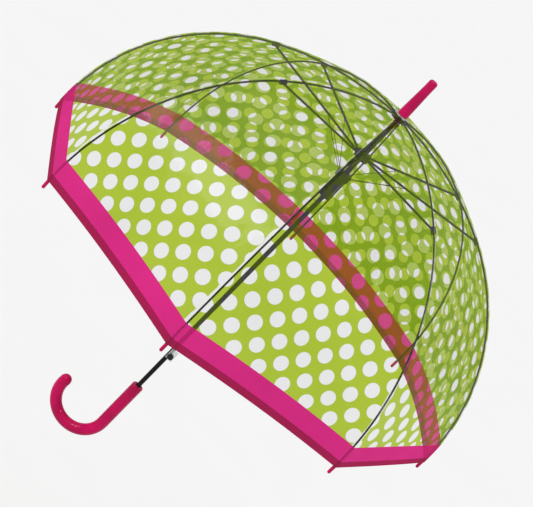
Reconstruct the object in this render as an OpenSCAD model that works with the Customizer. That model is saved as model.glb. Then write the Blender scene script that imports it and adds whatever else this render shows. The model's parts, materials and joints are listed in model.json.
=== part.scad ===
// Clear dome umbrella, open, standing on its shaft axis with the ferrule up.
// Millimetres. The origin is on the shaft axis at the mouth of the handle, and +Z points to the ferrule.
// Rib 1 points along -Y and the ribs follow each other anticlockwise seen from above.

/* [Canopy] */
// Radius of the dome at the rib ends, over the film
canopy_r = 420; // [300:1:520]
// Height of the dome from the rib ends to the crown
canopy_h = 378; // [260:1:460]
// Radius of the arc that shapes the side of the dome
side_arc = 364.5; // [280:0.5:370]
// Height of the rib ends above the handle's mouth
rim_z = 261; // [180:1:320]
// Thickness of the film
film_t = 0.5; // [0.3:0.1:1.5]
// How flat the film is pulled between two ribs, from a round dome at 0 to straight chords at 1
film_flat = 0.8; // [0:0.05:1]
// Rise of the hem midway between two ribs
hem_rise = 7; // [0:0.5:20]

/* [Ribs] */
// Number of ribs
rib_count = 8; // [6:2:16]
// Diameter of a rib
rib_d = 3; // [2:0.1:4]
// Depth of a rib's centreline under the outside of the film
rib_depth = 3.6; // [3:0.1:5]
// Depth of the stretcher joints under the outside of the film
joint_depth = 6; // [5:0.5:10]
// Length of a rib's pink end cap
cap_len = 15; // [8:0.5:25]
// Diameter of a rib's pink end cap
cap_d = 5.4; // [4:0.1:8]

/* [Shaft and runners] */
// Diameter of the shaft
shaft_d = 8; // [7:0.5:12]
// Wall of the shaft tube
shaft_wall = 0.8; // [0.5:0.1:1.5]
// Height of the stretcher pivots above the handle's mouth, with the umbrella open
hub_z = 551; // [500:1:580]
// Height of the link pivots above the handle's mouth, with the umbrella open
runner_z = 506; // [450:1:530]
// Distance along a stretcher from its inner pivot to the link
link_reach = 78; // [40:1:120]
// Length of the runner's sleeve under its link pivots
sleeve_len = 46; // [20:1:80]
// Diameter of the runner's sleeve
sleeve_d = 17; // [14:0.5:22]

/* [Handle and ferrule] */
// Diameter of the handle
handle_d = 20.8; // [16:0.1:26]
// Length of the handle's straight part
grip_len = 95; // [70:1:130]
// Radius of the crook, to the middle of the handle
crook_r = 48; // [35:1:60]
// Sweep of the crook
crook_sweep = 190; // [150:1:210]
// Length of the ferrule
ferrule_len = 74; // [40:1:90]
// Diameter of the ferrule at its base
ferrule_base_d = 18.6; // [16:0.5:26]
// Diameter of the ferrule at its tip
ferrule_tip_d = 15.2; // [10:0.1:18]

/* [Closure] */
// Length of the closure strap's loose end
strap_len = 17; // [10:1:60]
// Width of the closure strap
strap_w = 11; // [8:1:25]

/* [Hidden] */
$fn = 48;
sector = 360 / rib_count;
crown_z = rim_z + canopy_h;
crown_arc = (canopy_r * canopy_r + canopy_h * canopy_h - 2 * canopy_r * side_arc)
    / (2 * (canopy_h - side_arc));
crown_centre_z = crown_z - crown_arc;
side_centre_r = canopy_r - side_arc;
// Angle from the crown at which the two arcs of the dome meet, and the stretchers meet the ribs
seam_angle = atan2(side_centre_r, rim_z - crown_centre_z);
shaft_r = shaft_d / 2;
touch_gap = 0.05;
slide_gap = 0.3;
pivot_r = 9;
notch_pivot_z = crown_centre_z + sqrt(pow(crown_arc - rib_depth, 2) - pow(pivot_r, 2));
stretcher_y = 3.5;
stretcher_t = 2;
link_pivot_r = 8;
link_y = 5.4;
link_t = 1.2;
link_d = 1;
pin_r = 0.8;
link_pin_r = 0.5;
eye_r = 2.2;
clip_len = 12;
clip_w = 4.4;
clip_top = 1.7;
clip_bottom = 8.3;
// How far a rib's end turns past the hem into its cap
cap_angle = 1.7;
// Angle left between the two rods of a rib inside its clip
rod_gap = 0.25;
link_eye_r = 1.4;
hub_h = 13;
film_rows = 32;
film_columns = 4;
film_hole_r = 6;
film_start = asin(film_hole_r / crown_arc);
ferrule_z = crown_z + 2;
button_z = -32;
strap_y = 16;
strap_z = rim_z + 0.3;

// The dome's profile: radius and height at an angle from the crown, at a depth under the film.
function dome_r(angle, depth) = angle <= seam_angle
    ? (crown_arc - depth) * sin(angle)
    : side_centre_r + (side_arc - depth) * sin(angle);
function dome_z(angle, depth) = angle <= seam_angle
    ? crown_centre_z + (crown_arc - depth) * cos(angle)
    : rim_z + (side_arc - depth) * cos(angle);

function rib_azimuth(i) = -90 + (i - 1) * sector;

joint_r = dome_r(seam_angle, joint_depth);
joint_z = dome_z(seam_angle, joint_depth);
stretcher_angle = atan2(joint_z - hub_z, joint_r - pivot_r);
link_end_r = pivot_r + link_reach * cos(stretcher_angle);
link_end_z = hub_z + link_reach * sin(stretcher_angle);

// Places its children in the plane of rib i, with X outwards and Y sideways.
module at_rib(i) {
    rotate([0, 0, rib_azimuth(i)]) children();
}

// A round bar or bore across a rib's plane, centred on y.
module cross_bar(x, y, z, r, length) {
    translate([x, y, z])
        rotate([90, 0, 0])
            cylinder(r = r, h = length, center = true);
}

// Steel tube that carries everything, hidden in the handle and ferrule at its ends.
module shaft() {
    color([0.08, 0.08, 0.08])
        difference() {
            translate([0, 0, -68])
                cylinder(r = shaft_r, h = 68 + ferrule_z + 14);
            translate([0, 0, -69])
                cylinder(r = shaft_r - shaft_wall, h = 70 + ferrule_z + 14);
        }
}

// Crook handle with a bore for the shaft, a recess for the collar and a pocket for the button.
module handle() {
    color([0.83, 0.02, 0.35])
        difference() {
            union() {
                translate([0, 0, -grip_len])
                    cylinder(d = handle_d, h = grip_len - 1.5);
                translate([0, 0, -1.5])
                    cylinder(d1 = handle_d, d2 = handle_d - 2.4, h = 1.5);
                translate([-crook_r, 0, -grip_len])
                    rotate([-90, 0, 0])
                        rotate_extrude(angle = crook_sweep)
                            translate([crook_r, 0])
                                circle(d = handle_d);
                translate([-crook_r, 0, -grip_len])
                    rotate([-90, 0, 0])
                        rotate([0, 0, crook_sweep])
                            translate([crook_r, 0, 0])
                                sphere(d = handle_d - 0.6);
            }
            translate([0, 0, -70])
                cylinder(r = shaft_r + touch_gap, h = 71);
            translate([0, 0, -12])
                cylinder(r = 5.6 + touch_gap, h = 13);
            translate([0, 8.9, button_z])
                rotate([90, 0, 0])
                    cylinder(r = 4.5, h = 8, center = true);
        }
}

// Black bush that lines the handle's mouth.
module handle_collar() {
    color([0.06, 0.06, 0.06])
        difference() {
            translate([0, 0, -12])
                cylinder(r = 5.6, h = 12.8);
            translate([0, 0, -13])
                cylinder(r = shaft_r + touch_gap, h = 15);
        }
}

// Release button on the far side of the grip.
module push_button() {
    color([0.06, 0.06, 0.06])
        translate([0, 12.6, button_z])
            rotate([90, 0, 0])
                cylinder(r = 4.2, h = 5.3);
}

// Tapered tip over the shaft's upper end, with a short straight end.
module ferrule() {
    base_r = ferrule_base_d / 2;
    tip_r = ferrule_tip_d / 2;
    nose_r = 5;
    color([0.83, 0.02, 0.35])
        translate([0, 0, ferrule_z])
            difference() {
                union() {
                    cylinder(r1 = base_r - 0.8, r2 = base_r, h = 0.8);
                    translate([0, 0, 0.8])
                        cylinder(r1 = base_r, r2 = tip_r, h = ferrule_len - 20.8);
                    translate([0, 0, ferrule_len - 20])
                        cylinder(r = tip_r, h = 20 - nose_r);
                    rotate_extrude()
                        translate([tip_r - nose_r, ferrule_len - nose_r])
                            intersection() {
                                circle(r = nose_r);
                                square(nose_r + 1);
                            }
                    translate([0, 0, ferrule_len - nose_r])
                        cylinder(r = tip_r - nose_r, h = nose_r);
                }
                translate([0, 0, -1])
                    cylinder(r = shaft_r + touch_gap, h = 16);
            }
}

// Clear washer that clamps the film under the ferrule.
module crown_washer() {
    color([0.75, 0.78, 0.78])
        translate([0, 0, crown_z + 0.1])
            difference() {
                cylinder(r = 14, h = 1.8);
                translate([0, 0, -1])
                    cylinder(r = shaft_r + touch_gap, h = 4);
            }
}

// Slotted disc under the crown in which the ribs hinge.
module top_notch() {
    color([0.06, 0.06, 0.06])
        difference() {
            translate([0, 0, notch_pivot_z - 5])
                cylinder(r = 13, h = 7.8);
            translate([0, 0, notch_pivot_z - 6])
                cylinder(r = shaft_r + touch_gap, h = 10);
            for (i = [1:rib_count])
                at_rib(i)
                    translate([6.3, -1.9, notch_pivot_z - 6])
                        cube([10, 3.8, 10]);
            translate([0, 0, notch_pivot_z])
                rotate_extrude()
                    translate([pivot_r, 0])
                        circle(r = 0.55);
        }
}

// Wire ring threaded through the notch and every rib's eye.
module notch_ring() {
    color([0.7, 0.7, 0.7])
        translate([0, 0, notch_pivot_z])
            rotate_extrude()
                translate([pivot_r, 0])
                    circle(r = 0.5);
}

// Lower runner with its sleeve, which the user pulls down to close the canopy.
module runner() {
    color([0.06, 0.06, 0.06])
        difference() {
            union() {
                translate([0, 0, runner_z - sleeve_len])
                    cylinder(d = sleeve_d, h = sleeve_len);
                translate([0, 0, runner_z - 6])
                    cylinder(r = 13, h = 12);
                translate([0, 0, runner_z - sleeve_len])
                    cylinder(d = sleeve_d + 3, h = 3);
            }
            translate([0, 0, runner_z - sleeve_len - 1])
                cylinder(r = shaft_r + slide_gap, h = sleeve_len + 10);
            for (i = [1:rib_count])
                at_rib(i) {
                    translate([5.9, link_y - 1, runner_z - 3])
                        cube([12, 2, 12]);
                    cross_bar(link_pivot_r, link_y, runner_z, link_pin_r, 4.4);
                }
        }
}

// Pins of the links in the runner, one group.
module runner_pins() {
    color([0.7, 0.7, 0.7])
        for (i = [1:rib_count])
            at_rib(i)
                cross_bar(link_pivot_r, link_y, runner_z, link_pin_r, 4.4);
}

// Upper hub in which the stretchers hinge. It slides on the shaft.
module stretcher_hub() {
    color([0.06, 0.06, 0.06])
        difference() {
            translate([0, 0, hub_z - hub_h / 2])
                cylinder(r = 13, h = hub_h);
            translate([0, 0, hub_z - hub_h])
                cylinder(r = shaft_r + slide_gap, h = 2 * hub_h);
            for (i = [1:rib_count])
                at_rib(i) {
                    translate([6.5, stretcher_y - 1.3, hub_z - 3.5])
                        cube([12, 2.6, hub_h]);
                    cross_bar(pivot_r, stretcher_y, hub_z, pin_r, 4.6);
                }
        }
}

// Pins of the stretchers in the hub, one group.
module hub_pins() {
    color([0.7, 0.7, 0.7])
        for (i = [1:rib_count])
            at_rib(i)
                cross_bar(pivot_r, stretcher_y, hub_z, pin_r, 4.6);
}

// One of a rib's two curved rods, between two angles from the crown, about a centre in the rib's plane.
module rib_rod(centre_r, centre_z, arc, from_angle, to_angle) {
    translate([centre_r, 0, centre_z])
        rotate([90, 0, 0])
            rotate([0, 0, 90 - to_angle])
                rotate_extrude(angle = to_angle - from_angle)
                    translate([arc - rib_depth, 0])
                        circle(d = rib_d);
}

// One sprung rib, held in its open curve: an eye and two rods that a clip joins.
module rib(i) {
    clip_depth = (clip_top + clip_bottom) / 2;
    start = asin((pivot_r + 1.4) / (crown_arc - rib_depth));
    color([0.06, 0.06, 0.06])
        at_rib(i)
            difference() {
                union() {
                    cross_bar(pivot_r, 0, notch_pivot_z, eye_r, 1.8);
                    rib_rod(0, crown_centre_z, crown_arc, start, seam_angle - rod_gap);
                    rib_rod(side_centre_r, rim_z, side_arc, seam_angle + rod_gap, 90 + cap_angle);
                    translate([dome_r(seam_angle, clip_depth), 0, dome_z(seam_angle, clip_depth)])
                        rotate([0, seam_angle, 0])
                            cube([clip_len, clip_w, clip_bottom - clip_top], center = true);
                }
                cross_bar(pivot_r, 0, notch_pivot_z, 0.9, 4);
            }
}

// Pink cap pushed on a rib's end below the hem.
module tip_cap(i) {
    color([0.83, 0.02, 0.35])
        at_rib(i)
            translate([canopy_r - rib_depth, 0, rim_z - 0.5])
                difference() {
                    union() {
                        translate([0, 0, cap_d / 2 - cap_len])
                            cylinder(d = cap_d, h = cap_len - cap_d / 2);
                        translate([0, 0, cap_d / 2 - cap_len])
                            sphere(d = cap_d);
                    }
                    translate([0, 0, 3.4 - cap_len])
                        cylinder(d = rib_d + 0.5, h = cap_len);
                }
}

// Flat bar from the hub to the side of a rib's clip.
module stretcher(i) {
    span = norm([joint_r - pivot_r, joint_z - hub_z]);
    color([0.06, 0.06, 0.06])
        at_rib(i)
            difference() {
                union() {
                    translate([pivot_r, stretcher_y, hub_z])
                        rotate([0, -stretcher_angle, 0])
                            translate([0, -stretcher_t / 2, -1.6])
                                cube([span, stretcher_t, 3.2]);
                    cross_bar(pivot_r, stretcher_y, hub_z, eye_r, stretcher_t);
                    cross_bar(joint_r, stretcher_y, joint_z, eye_r, stretcher_t);
                }
                cross_bar(pivot_r, stretcher_y, hub_z, pin_r + 0.08, 6);
            }
}

// Wire from the runner to the side of a stretcher.
module link(i) {
    rise = link_end_z - runner_z;
    run = link_end_r - link_pivot_r;
    color([0.06, 0.06, 0.06])
        at_rib(i)
            difference() {
                union() {
                    translate([link_pivot_r, link_y, runner_z])
                        rotate([0, atan2(run, rise), 0])
                            cylinder(d = link_d, h = norm([run, rise]));
                    cross_bar(link_pivot_r, link_y, runner_z, link_eye_r, link_t);
                    cross_bar(link_end_r, link_y, link_end_z, link_eye_r, link_t);
                }
                cross_bar(link_pivot_r, link_y, runner_z, link_pin_r + 0.08, 4);
            }
}

// A point of the film: row from the crown to the hem, column from rib to rib, depth under the outside.
function film_point(row, column, depth) =
    let (
        across = 2 * column / film_columns - 1,
        azimuth = across * (sector / 2 - 0.01),
        hem_angle = 90 - (hem_rise / side_arc) * (180 / PI) * (1 - across * across),
        angle = film_start + (hem_angle - film_start) * row / film_rows,
        chord = cos(sector / 2) / cos(azimuth),
        radius = dome_r(angle, depth) * (1 - film_flat * (1 - chord))
    )
    [radius * cos(azimuth), radius * sin(azimuth), dome_z(angle, depth)];

// One panel of the film between rib i and the next, as a thin closed shell.
module canopy_panel(i) {
    wide = film_columns + 1;
    side = wide * (film_rows + 1);
    points = [for (depth = [0, film_t], row = [0:film_rows], column = [0:film_columns])
        film_point(row, column, depth)];
    outer_faces = [for (row = [0:film_rows - 1], column = [0:film_columns - 1], half = [0, 1])
        let (p = row * wide + column)
        half == 0 ? [p, p + 1, p + wide + 1] : [p, p + wide + 1, p + wide]];
    inner_faces = [for (face = outer_faces)
        [face[2] + side, face[1] + side, face[0] + side]];
    rim = concat(
        [for (column = [0:film_columns]) column],
        [for (row = [1:film_rows]) row * wide + film_columns],
        [for (column = [film_columns - 1:-1:0]) film_rows * wide + column],
        [for (row = [film_rows - 1:-1:1]) row * wide]
    );
    rim_faces = [for (k = [0:len(rim) - 1], half = [0, 1])
        let (p = rim[k], q = rim[(k + 1) % len(rim)])
        half == 0 ? [q, p, p + side] : [q, p + side, q + side]];
    color([0.62, 0.76, 0.15, 0.6])
        rotate([0, 0, rib_azimuth(i) + sector / 2])
            polyhedron(points = points, faces = concat(outer_faces, inner_faces, rim_faces));
}

// Loose clear end of the closure strap, beside rib 1 at the hem.
module closure_strap() {
    color([0.85, 0.87, 0.87])
        at_rib(1)
            translate([canopy_r - 6.3, strap_y - strap_w / 2, strap_z - strap_len])
                cube([0.8, strap_w, strap_len]);
}

// Black snap on the strap's end.
module strap_snap() {
    color([0.06, 0.06, 0.06])
        at_rib(1)
            translate([canopy_r - 5.5, strap_y, strap_z - strap_len + strap_w / 2])
                rotate([0, 90, 0])
                    cylinder(d = strap_w - 2, h = 2.4);
}

shaft();
handle();
handle_collar();
push_button();
ferrule();
crown_washer();
top_notch();
notch_ring();
runner();
runner_pins();
stretcher_hub();
hub_pins();
closure_strap();
strap_snap();
for (i = [1:rib_count]) {
    canopy_panel(i);
    rib(i);
    tip_cap(i);
    stretcher(i);
    link(i);
}
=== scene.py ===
"""Clear dome umbrella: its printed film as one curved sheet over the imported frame, in a pale studio."""
import json
import math

import bpy
from mathutils import Matrix, Vector

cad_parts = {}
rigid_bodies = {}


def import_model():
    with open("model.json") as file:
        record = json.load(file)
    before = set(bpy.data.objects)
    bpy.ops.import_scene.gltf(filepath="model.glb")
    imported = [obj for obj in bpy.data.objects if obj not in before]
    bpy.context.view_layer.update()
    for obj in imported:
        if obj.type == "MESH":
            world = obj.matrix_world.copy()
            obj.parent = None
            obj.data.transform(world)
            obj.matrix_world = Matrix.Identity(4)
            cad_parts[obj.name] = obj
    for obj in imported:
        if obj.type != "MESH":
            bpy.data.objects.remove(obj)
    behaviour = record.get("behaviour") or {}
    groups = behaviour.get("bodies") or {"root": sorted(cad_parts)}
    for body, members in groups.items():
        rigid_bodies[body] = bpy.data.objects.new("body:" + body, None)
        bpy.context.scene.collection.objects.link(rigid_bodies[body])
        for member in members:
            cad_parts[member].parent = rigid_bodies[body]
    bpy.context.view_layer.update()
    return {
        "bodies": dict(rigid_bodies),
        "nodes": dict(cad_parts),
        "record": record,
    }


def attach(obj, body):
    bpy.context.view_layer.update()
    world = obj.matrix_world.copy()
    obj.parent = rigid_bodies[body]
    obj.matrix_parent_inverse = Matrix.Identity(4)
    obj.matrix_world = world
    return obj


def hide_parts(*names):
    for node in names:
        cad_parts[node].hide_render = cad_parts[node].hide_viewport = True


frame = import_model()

scene = bpy.context.scene
MM = 0.001


def add(name, data):
    """A new object in the scene."""
    made = bpy.data.objects.new(name, data)
    scene.collection.objects.link(made)
    return made


# ---------------------------------------------------------------- camera
SENSOR, LENS = 36.0, 107.3752  # mm
AZIMUTH, ELEVATION, ROLL = (math.radians(angle) for angle in (1.67, 18.77, 44.33))
RIM_CENTRE, DISTANCE = Vector((0, 0, 0.261)), 2.5961
AIM_RIGHT, AIM_UP = 0.0159962, 0.0168769  # slopes from the rim's centre to the middle of the view


def add_camera():
    """A long lens that looks down a little, rolled so that the shaft leans across the view."""
    across = Vector((math.cos(AZIMUTH), math.sin(AZIMUTH), 0))
    forward = Vector((-math.sin(AZIMUTH) * math.cos(ELEVATION),
                      math.cos(AZIMUTH) * math.cos(ELEVATION),
                      -math.sin(ELEVATION)))
    level_up = across.cross(forward)
    right = math.cos(ROLL) * across + math.sin(ROLL) * level_up
    up = -math.sin(ROLL) * across + math.cos(ROLL) * level_up
    aim = (forward + right * AIM_RIGHT + up * AIM_UP).normalized()
    view_right = aim.cross(up).normalized()
    view_up = view_right.cross(aim)
    data = bpy.data.cameras.new("camera")
    data.sensor_width = SENSOR
    data.lens = LENS
    data.clip_end = 200
    camera = add("camera", data)
    turn = Matrix((view_right, view_up, -aim)).transposed()
    camera.matrix_world = Matrix.Translation(RIM_CENTRE - forward * DISTANCE) @ turn.to_4x4()
    scene.camera = camera


add_camera()


# ---------------------------------------------------------------- material helpers
class Net:
    """A material's node tree, built in short calls."""

    def __init__(self, name):
        self.material = bpy.data.materials.new(name)
        self.material.use_nodes = True
        self.tree = self.material.node_tree
        self.tree.nodes.clear()
        self.out = self.node("OutputMaterial")

    def node(self, kind, inputs=None, **settings):
        """A node, with each input set to a constant or linked to a socket."""
        made = self.tree.nodes.new("ShaderNode" + kind)
        for key, value in settings.items():
            setattr(made, key, value)
        for key, value in (inputs or {}).items():
            if isinstance(value, bpy.types.NodeSocket):
                self.tree.links.new(value, made.inputs[key])
            else:
                made.inputs[key].default_value = value
        return made

    def shader(self, kind, **inputs):
        """A shader, with its inputs named by their labels, underscores for spaces."""
        labelled = {key.replace("_", " "): value for key, value in inputs.items()}
        return self.node("Bsdf" + kind, labelled).outputs[0]

    def maths(self, how, *values):
        return self.node("Math", dict(enumerate(values)), operation=how).outputs[0]

    def vector_maths(self, how, *values):
        made = self.node("VectorMath", dict(enumerate(values)), operation=how)
        return made.outputs["Value" if how == "LENGTH" else "Vector"]

    def ramp(self, value, low, high, to_low=0.0, to_high=1.0):
        """A smooth step from to_low to to_high as value goes from low to high."""
        limits = {0: value, 1: low, 2: high, 3: to_low, 4: to_high}
        return self.node("MapRange", limits, interpolation_type="SMOOTHSTEP").outputs[0]

    def mix(self, share, a, b):
        """A colour between a and b."""
        return self.node("Mix", {0: share, 6: a, 7: b}, data_type="RGBA").outputs[2]

    def blend(self, share, a, b):
        """A shader between a and b."""
        return self.node("MixShader", {0: share, 1: a, 2: b}).outputs[0]

    def noise(self, scale, detail=3.0, rough=0.55, stretch=None):
        """A cloudy pattern over the object, from 0 to 1."""
        place = self.node("TexCoord").outputs["Object"]
        if stretch:
            place = self.node("Mapping", {"Vector": place, "Scale": stretch}).outputs[0]
        inputs = {"Vector": place, "Scale": scale, "Detail": detail, "Roughness": rough}
        return self.node("TexNoise", inputs).outputs[0]

    def relief(self, height, strength, distance=0.001):
        return self.node("Bump", {"Strength": strength, "Distance": distance, "Height": height}).outputs[0]

    def finish(self, shader):
        self.tree.links.new(shader, self.out.inputs["Surface"])
        return self.material


def grey(value, blue=None):
    return (value, value, value if blue is None else blue, 1.0)


WHITE = grey(1.0)


def solid(name, light, dark, rough, grain, bump, shine, metal=0.0, stretch=None):
    """Opaque moulded or painted material: two close shades, uneven gloss and a fine relief."""
    net = Net(name)
    patch = net.noise(22.0, 4.0, stretch=stretch)
    smudge = net.noise(40.0, 5.0, stretch=stretch)
    return net.finish(net.shader(
        "Principled",
        Base_Color=net.mix(net.ramp(patch, 0.3, 0.7), light, dark),
        Roughness=net.ramp(smudge, 0.3, 0.75, rough, rough + 0.08),
        Metallic=metal,
        Specular_IOR_Level=shine,
        Normal=net.relief(net.noise(grain, 3.0, 0.6, stretch=stretch), bump)))


def clear(name, tint, darker_tint, milky, rough):
    """Thick clear plastic: mostly seen through, with gloss and a little haze."""
    net = Net(name)
    patch = net.ramp(net.noise(60.0, 4.0), 0.3, 0.7)
    normal = net.relief(net.noise(150.0), 0.05)
    through = net.shader("Transparent", Color=net.mix(patch, tint, darker_tint))
    haze = net.shader("Diffuse", Color=(0.8, 0.82, 0.82, 1))
    gloss = net.shader("Glossy", Color=WHITE, Roughness=rough, Normal=normal)
    fresnel = net.node("Fresnel", {"IOR": 1.5, "Normal": normal}).outputs[0]
    body = net.blend(net.ramp(patch, 0.0, 1.0, milky, milky * 1.4), through, haze)
    return net.finish(net.blend(fresnel, body, gloss))


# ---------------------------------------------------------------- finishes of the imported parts
finish_of = {
    "pink_plastic": solid("pink_plastic", (0.50, 0.0, 0.085, 1), (0.34, 0.0, 0.055, 1),
                          rough=0.09, grain=260.0, bump=0.015, shine=0.14),
    "black_metal": solid("black_metal", grey(0.004, 0.0045), grey(0.009, 0.010),
                         rough=0.26, grain=500.0, bump=0.04, shine=0.12, stretch=(1.0, 1.0, 0.3)),
    "black_plastic": solid("black_plastic", grey(0.006, 0.007), grey(0.013, 0.014),
                           rough=0.38, grain=420.0, bump=0.06, shine=0.2),
    "bright_wire": solid("bright_wire", grey(0.62, 0.63), grey(0.5, 0.51),
                         rough=0.24, grain=900.0, bump=0.05, shine=0.4, metal=1.0),
    "clear_plastic": clear("clear_plastic", (0.80, 0.83, 0.83, 1), (0.72, 0.747, 0.747, 1),
                           milky=0.22, rough=0.07),
}
slot_of = {row["node"]: row["material_slot"] for row in frame["record"]["subparts"]}
for name, part in frame["nodes"].items():
    if name.startswith("canopy_panel"):
        continue
    part.data.materials.clear()
    part.data.materials.append(finish_of[slot_of[name]])

# ---------------------------------------------------------------- the film's shape, in mm
RIBS = 8
SECTOR = 360 / RIBS
CROWN_ARC, CROWN_Z = 485.33, 153.67  # the crown's arc: radius, and height of its centre
SIDE_ARC, SIDE_R, SIDE_Z = 364.5, 55.5, 261.0  # the side's arc: radius, and its centre
MEETING = math.radians(27.34)  # from the vertical to where the two arcs meet
DEPTH = 0.25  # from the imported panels' outer face to the sheet, half their thickness
CROWN_HOLE_R = 6.0
HEM_RISE = 7.0  # between two ribs the hem is this much higher
FLATNESS = 0.8  # from 0, a round dome, to 1, straight across from rib to rib
BAND, FOLD = 42.0, 12.0  # height of the pink band, and of the fold at its lower edge
HELD_R, FREE_R = 8.0, 22.0  # the crown holds the film inside the first, and the ribs outside the second
ROWS, BAND_ROWS, FOLD_ROWS, COLUMNS = 78, 7, 3, 14
LAST_ROW = ROWS + BAND_ROWS + FOLD_ROWS
CREASE_ROW = 5  # the film creases over a rib from this row down
START = math.asin(CROWN_HOLE_R / CROWN_ARC)


def dome(angle):
    """Radius and height of the sheet at an angle from the vertical."""
    if angle <= MEETING:
        arc = CROWN_ARC - DEPTH
        return arc * math.sin(angle), CROWN_Z + arc * math.cos(angle)
    arc = SIDE_ARC - DEPTH
    return SIDE_R + arc * math.sin(angle), SIDE_Z + arc * math.cos(angle)


def along(angle):
    """Length over the dome from the crown."""
    return CROWN_ARC * min(angle, MEETING) + SIDE_ARC * max(0.0, angle - MEETING)


def side_of(column):
    """From -1 at a gore's first rib to 1 at its second."""
    return 2 * column / COLUMNS - 1


def row_angle(column, row):
    """Angle from the vertical, with rows on the band's edge and the fold's edge."""
    hem = math.radians(90) - HEM_RISE / SIDE_ARC * (1 - side_of(column) ** 2)
    band, fold = hem - BAND / SIDE_ARC, hem - FOLD / SIDE_ARC
    if row <= ROWS:
        return START + (band - START) * row / ROWS
    if row <= ROWS + BAND_ROWS:
        return band + (fold - band) * (row - ROWS) / BAND_ROWS
    return fold + (hem - fold) * (row - ROWS - BAND_ROWS) / FOLD_ROWS


points, weights, index = [], [], {}


def vertex(gore, column, row):
    """Number of the film's point, which is shared along the rib lines, and how far each body carries it."""
    if column == COLUMNS:
        gore, column = (gore + 1) % RIBS, 0
    key = (gore, column, row)
    if key in index:
        return index[key]
    turn = math.radians(side_of(column) * SECTOR / 2)
    radius, height = dome(row_angle(column, row))
    radius *= 1 - FLATNESS * (1 - math.cos(math.radians(SECTOR / 2)) / math.cos(turn))
    azimuth = math.radians(-90 + gore * SECTOR + SECTOR / 2) + turn
    index[key] = len(points)
    points.append((radius * math.cos(azimuth) * MM, radius * math.sin(azimuth) * MM, height * MM))
    free = min(1.0, max(0.0, (radius - HELD_R) / (FREE_R - HELD_R)))
    free = free * free * (3 - 2 * free)
    share = column / COLUMNS
    weights.append({"root": 1 - free,
                    f"rib_{gore + 1}": free * (1 - share),
                    f"rib_{(gore + 1) % RIBS + 1}": free * share})
    return index[key]


# ---------------------------------------------------------------- the film's mesh
PITCH = (47.8, 46.1)  # the dots' square grid, with one more dot in the middle of each cell
# Where the print lies on each gore: the middle of one dot, across from the gore's middle line and down.
PRINT_PLACE = ((-18.5, -2.0), (3.0, 9.0), (8.0, -6.0), (-9.0, 4.0),
               (5.0, 12.0), (11.0, -3.0), (-3.0, 7.0), (9.6, -0.2))


def flat_place(column, row):
    """The point on the flat gore: across from its middle line, down from the crown, and half width there."""
    angle = row_angle(column, row)
    half_width = dome(angle)[0] * math.radians(SECTOR / 2)
    return side_of(column) * half_width, along(angle), half_width


def film_mesh():
    """One mesh of eight gores, with its print laid out flat in one UV map and its edges in another."""
    faces, print_map, edge_map, regions = [], [], [], []
    for gore in range(RIBS):
        for row in range(LAST_ROW):
            for column in range(COLUMNS):
                corners = ((column, row), (column, row + 1), (column + 1, row + 1), (column + 1, row))
                faces.append([vertex(gore, *corner) for corner in corners])
                regions.append((row >= ROWS) + (row >= ROWS + BAND_ROWS))
                for corner in corners:
                    x, y, half_width = flat_place(*corner)
                    dot_x, dot_y = PRINT_PLACE[gore]
                    print_map += ((x - dot_x) / PITCH[0], (y - dot_y) / PITCH[1])
                    edge_map += (x, half_width)
    mesh = bpy.data.meshes.new("canopy_film")
    mesh.from_pydata(points, [], faces)
    for name, values in (("print", print_map), ("edges", edge_map)):
        mesh.uv_layers.new(name=name)
        mesh.uv_layers[name].data.foreach_set("uv", values)
    mesh.polygons.foreach_set("material_index", regions)
    mesh.polygons.foreach_set("use_smooth", [True] * len(faces))
    mesh.update()
    rib_line = {number for (_, column, row), number in index.items() if column == 0 and row >= CREASE_ROW}
    for edge in mesh.edges:
        edge.use_edge_sharp = rib_line.issuperset(edge.vertices)
    return mesh


# ---------------------------------------------------------------- the film's materials
DOT_R = 11.6  # mm


def film_base(name):
    """A net with the film's creases and with slow changes of shade."""
    net = Net(name)
    creases = net.noise(9.0, 4.0, 0.5, stretch=(1.0, 1.0, 0.45))
    ripple = net.maths("MULTIPLY", net.noise(34.0, 2.0, 0.5, stretch=(1.0, 1.0, 0.3)), 0.25)
    normal = net.relief(net.maths("ADD", creases, ripple), 0.6, 0.009)
    cloud = net.ramp(net.noise(7.0, 3.0), 0.3, 0.7)
    return net, normal, cloud


def film_finish(net, normal, tint, colour, opaque, glow, most_gloss):
    """Thin film: a tint that light passes through, ink that it lights from both sides, and a weak gloss."""
    ink = net.blend(glow, net.shader("Diffuse", Color=colour), net.shader("Translucent", Color=colour))
    sheet = net.blend(opaque, net.shader("Transparent", Color=tint), ink)
    gloss = net.shader("Glossy", Color=WHITE, Roughness=0.09, Normal=normal)
    fresnel = net.node("Fresnel", {"IOR": 1.42, "Normal": normal}).outputs[0]
    share = net.maths("MINIMUM", net.maths("MULTIPLY", fresnel, 0.5), most_gloss)
    return net.finish(net.blend(share, sheet, gloss))


def dot_pattern(net):
    """1 in the round unprinted dots and 0 in the ink, from the flat layout of the print."""
    place = net.node("UVMap", uv_map="print").outputs[0]
    lengths = []
    for offset in (0.0, 0.5):
        cell = net.vector_maths("FRACTION", net.vector_maths("ADD", place, (offset, offset, 0)))
        from_middle = net.vector_maths("SUBTRACT", cell, (0.5, 0.5, 0))
        lengths.append(net.vector_maths("LENGTH", net.vector_maths("MULTIPLY", from_middle, (*PITCH, 0))))
    return net.ramp(net.maths("MINIMUM", *lengths), DOT_R - 0.4, DOT_R + 0.4, 1.0, 0.0)


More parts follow.
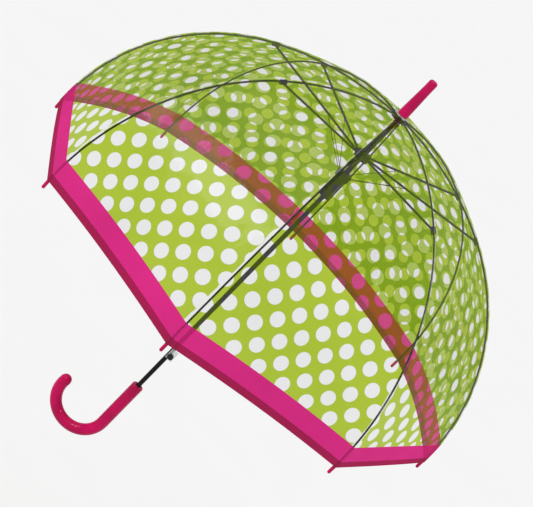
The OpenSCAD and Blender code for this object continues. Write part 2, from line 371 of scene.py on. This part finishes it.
def printed_film():
    """Clear film printed green, with clear dots, an uneven unprinted strip on one side of each rib, and a
    painted highlight streak beside that rib.
    """
    net, normal, cloud = film_base("film_printed")
    dot = dot_pattern(net)
    across, half_width, _ = net.node(
        "SeparateXYZ", {0: net.node("UVMap", uv_map="edges").outputs[0]}).outputs
    from_rib = net.maths("SUBTRACT", half_width, net.maths("ABSOLUTE", across))
    this_side = net.maths("GREATER_THAN", across, 0.0)
    strip_width = net.ramp(net.noise(16.0, 2.0), 0.35, 0.65, 2.0, 6.5)
    strip = net.ramp(net.maths("SUBTRACT", from_rib, strip_width), -0.4, 0.4, 1.0, 0.0)
    strip = net.maths("MULTIPLY", strip, this_side)
    # Painted highlight: a narrow, patchy white streak 1.7 to 3.2 mm from the rib on one side, painted into
    # the film's colour and ink share where light would glint off the film wrapped over the rib.
    painted_glint = net.maths("MULTIPLY", net.ramp(from_rib, 1.7, 2.1), net.ramp(from_rib, 2.6, 3.2, 1.0, 0.0))
    painted_glint = net.maths("MULTIPLY", painted_glint, this_side)
    painted_glint = net.maths("MULTIPLY", painted_glint, net.ramp(net.noise(14.0, 2.0), 0.42, 0.6))
    green = net.mix(cloud, (0.46, 0.590, 0.045, 1), (0.41, 0.555, 0.036, 1))
    bare = net.mix(cloud, grey(0.90), grey(0.86, 0.865))
    tint = net.mix(strip, net.mix(dot, green, bare), bare)
    # The painted highlight is mixed in here as near-white ink, and below it also raises the ink share.
    colour = net.mix(painted_glint, net.mix(dot, (0.46, 0.66, 0.030, 1), grey(0.80)), grey(0.9))
    thinner_by_rib = net.ramp(from_rib, 2.5, 6.0, 0.25, 1.0)
    opaque = net.maths("MULTIPLY", net.ramp(dot, 0.0, 1.0, 0.12, 0.05), thinner_by_rib)
    opaque = net.maths("MAXIMUM", opaque, net.maths("MULTIPLY", painted_glint, 0.4))
    return film_finish(net, normal, tint, colour, opaque, glow=0.5, most_gloss=0.05)


def hem_film(name, tints, colours, opaque):
    """Pink film: the band, or the darker fold along its lower edge."""
    net, normal, cloud = film_base(name)
    tint, colour = net.mix(cloud, *tints), net.mix(cloud, *colours)
    return film_finish(net, normal, tint, colour, opaque, glow=0.45, most_gloss=0.022)


film = add("canopy_film", film_mesh())
for material in (
        printed_film(),
        hem_film("hem_band", ((0.95, 0.045, 0.40, 1), (0.90, 0.035, 0.36, 1)),
                 ((0.74, 0.008, 0.215, 1), (0.64, 0.006, 0.185, 1)), opaque=0.76),
        hem_film("hem_fold", ((0.60, 0.01, 0.15, 1), (0.52, 0.01, 0.12, 1)),
                 ((0.42, 0.002, 0.080, 1), (0.36, 0.002, 0.066, 1)), opaque=0.90)):
    film.data.materials.append(material)


# ---------------------------------------------------------------- the film follows the ribs
def add_rig(bodies):
    """An armature with one bone for each body, which moves as the body does."""
    data = bpy.data.armatures.new("film_rig")
    rig = add("film_rig", data)
    bpy.context.view_layer.objects.active = rig
    bpy.ops.object.mode_set(mode="EDIT")
    for body in bodies:
        bone = data.edit_bones.new(body)
        bone.head = (0, 0, 0)
        bone.tail = (0, 1, 0)
        bone.roll = 0
    bpy.ops.object.mode_set(mode="OBJECT")
    for body in bodies:
        follow = rig.pose.bones[body].constraints.new("COPY_TRANSFORMS")
        follow.target = frame["bodies"][body]
    return rig


rib_names = [f"rib_{i + 1}" for i in range(RIBS)]
film_bodies = ["root"] + rib_names
groups = {body: film.vertex_groups.new(name=body) for body in film_bodies}
for number, shares in enumerate(weights):
    for body, share in shares.items():
        if share > 1e-6:
            groups[body].add([number], share, "REPLACE")
bend = film.modifiers.new("ribs", "ARMATURE")
bend.object = add_rig(film_bodies)

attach(film, "root")
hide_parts(*[f"canopy_panel_{i + 1}" for i in range(RIBS)])


# ---------------------------------------------------------------- floor and light
FLOOR_HALF, FLOOR_Z = 80, -1.2
LIT_POINT = Vector((0, 0, 0.35))


def add_floor():
    """A wide sheet of pale paper, well below the umbrella."""
    mesh = bpy.data.meshes.new("floor")
    corners = [(x * FLOOR_HALF, y * FLOOR_HALF, FLOOR_Z) for x, y in ((-1, -1), (1, -1), (1, 1), (-1, 1))]
    mesh.from_pydata(corners, [], [(0, 1, 2, 3)])
    net = Net("floor_paper")
    paper = net.mix(net.ramp(net.noise(3.0, 4.0), 0.3, 0.7), grey(0.925), grey(0.915, 0.916))
    mesh.materials.append(net.finish(net.shader("Diffuse", Color=paper)))
    add("floor", mesh)


def add_sky(strength):
    """White light from all round."""
    world = bpy.data.worlds.new("studio")
    scene.world = world
    world.use_nodes = True
    tree = world.node_tree
    tree.nodes.clear()
    output = tree.nodes.new("ShaderNodeOutputWorld")
    sky = tree.nodes.new("ShaderNodeBackground")
    sky.inputs["Color"].default_value = WHITE
    sky.inputs["Strength"].default_value = strength
    tree.links.new(sky.outputs[0], output.inputs["Surface"])


def add_sun():
    """Very soft light from above, which keeps the floor even."""
    data = bpy.data.lights.new("even", "SUN")
    data.energy = 1.05
    data.angle = math.radians(75)
    add("even", data).rotation_euler = (math.radians(22), math.radians(-26), 0)


def add_softbox(name, place, size, watts, receivers):
    """A rectangular lamp turned to the umbrella, which lights only its receivers."""
    data = bpy.data.lights.new(name, "AREA")
    data.shape = "RECTANGLE"
    data.size, data.size_y = size
    data.energy = watts
    lamp = add(name, data)
    lamp.location = place
    lamp.rotation_euler = (LIT_POINT - lamp.location).to_track_quat("-Z", "Y").to_euler()
    lamp.light_linking.receiver_collection = receivers


# The softboxes leave the floor out, so that it stays even, and two of them leave the film out too.
umbrella = bpy.data.collections.new("lit")
packed_parts = bpy.data.collections.new("parts")
umbrella.objects.link(film)
for part in frame["nodes"].values():
    umbrella.objects.link(part)
    packed_parts.objects.link(part)
add_floor()
add_sky(0.72)
add_sun()
add_softbox("key", (-3.2, -2.4, 3.2), (1.6, 1.6), 24, umbrella)
add_softbox("strip", (-2.2, -2.6, 2.4), (0.16, 1.5), 40, packed_parts)
add_softbox("edge", (1.4, -1.0, 3.2), (0.14, 1.2), 28, packed_parts)
scene.view_settings.view_transform = "Standard"

# ---------------------------------------------------------------- update the view layer
bpy.context.view_layer.update()
